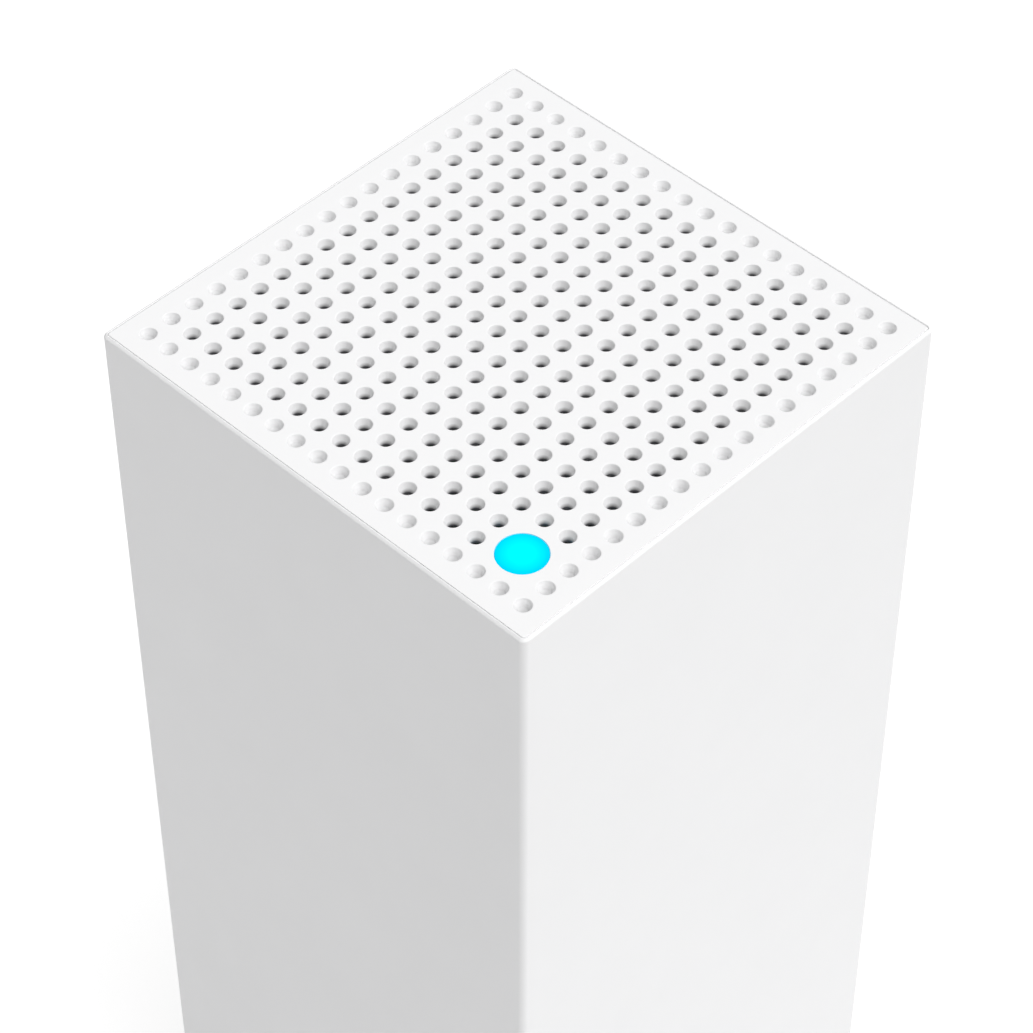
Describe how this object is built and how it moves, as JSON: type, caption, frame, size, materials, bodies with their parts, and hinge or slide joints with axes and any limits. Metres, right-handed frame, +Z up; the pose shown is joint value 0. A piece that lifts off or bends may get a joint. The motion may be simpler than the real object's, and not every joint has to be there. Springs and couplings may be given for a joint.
{
  "type": "wireless router",
  "caption": "Square white tower router with an inset perforated top, a round cyan status light near one corner, and network, power, switch and reset in a bay under the base.",
  "frame": {"origin": "middle of the footprint, at the level that the rubber feet stand on", "axes": "+Z up the tower; the status light is in the +X, -Y corner of the top and the cables leave through the +Y face"},
  "size_m": [0.0786, 0.0786, 0.1854],
  "materials": {
    "white_plastic": "fine satin moulded texture",
    "status_light": "translucent lens, lit from below",
    "clear_plastic": "clear moulded light guide",
    "led_package": "small light-emitting package",
    "frame_plastic": "dark glass-filled moulding",
    "black_plastic": "black connector plastic",
    "rocker_plastic": "black satin rocker",
    "red_plastic": "red push button",
    "circuit_board": "green solder mask on glass fibre",
    "chip_resin": "black moulded chip",
    "thermal_pad": "soft grey-blue pad",
    "foot_rubber": "soft grey rubber",
    "cable_jacket": "thin coaxial jacket",
    "heat_sink_aluminium": "extruded, sawn ends",
    "shield_steel": "tinned sheet steel",
    "screw_steel": "zinc-plated screw",
    "contact_brass": "plated contact"
  },
  "bodies": {
    "router_body": {"sleeve": "white_plastic", "top_grille": "white_plastic", "base": "white_plastic", "status_lens": "status_light", "light_guide": "clear_plastic", "status_led": "led_package", "inner_frame": "frame_plastic", "edge_connector": "black_plastic", "network_port_1": "black_plastic", "network_port_2": "black_plastic", "power_inlet": "black_plastic", "power_switch_housing": "black_plastic", "reset_switch": "black_plastic", "main_board": "circuit_board", "socket_board": "circuit_board", "status_light_board": "circuit_board", "antenna_1": "circuit_board", "antenna_2": "circuit_board", "antenna_3": "circuit_board", "antenna_4": "circuit_board", "antenna_5": "circuit_board", "antenna_6": "circuit_board", "processor": "chip_resin", "radio_chip_1": "chip_resin", "radio_chip_2": "chip_resin", "radio_chip_3": "chip_resin", "front_thermal_pad": "thermal_pad", "rear_thermal_pad": "thermal_pad", "foot_1": "foot_rubber", "foot_2": "foot_rubber", "foot_3": "foot_rubber", "foot_4": "foot_rubber", "antenna_lead_1": "cable_jacket", "antenna_lead_2": "cable_jacket", "antenna_lead_3": "cable_jacket", "antenna_lead_4": "cable_jacket", "antenna_lead_5": "cable_jacket", "antenna_lead_6": "cable_jacket", "status_light_lead": "cable_jacket", "front_heat_sink": "heat_sink_aluminium", "rear_heat_sink": "heat_sink_aluminium", "front_shield": "shield_steel", "rear_shield": "shield_steel", "base_screw_1": "screw_steel", "base_screw_2": "screw_steel", "base_screw_3": "screw_steel", "base_screw_4": "screw_steel", "board_screw_1": "screw_steel", "board_screw_2": "screw_steel", "board_screw_3": "screw_steel", "board_screw_4": "screw_steel", "socket_board_screw_1": "screw_steel", "socket_board_screw_2": "screw_steel", "heat_sink_screw_1": "screw_steel", "heat_sink_screw_2": "screw_steel", "power_inlet_pin": "contact_brass"},
    "power_rocker": {"power_rocker": "rocker_plastic"},
    "reset_button": {"reset_button": "red_plastic", "reset_plunger": "contact_brass"}
  },
  "joints": [
    {"name": "power_rocker_tilt", "type": "hinge", "parent": "router_body", "child": "power_rocker", "pos_m": [0.014, 0.016, 0.0278], "axis": [0, 1, 0], "range_deg": [-16, 0]},
    {"name": "reset_button_press", "type": "slide", "parent": "router_body", "child": "reset_button", "axis": [0, 0, 1], "range_m": [0, 0.0006], "stiffness_N_per_m": 2000, "springref_m": -0.0002}
  ]
}
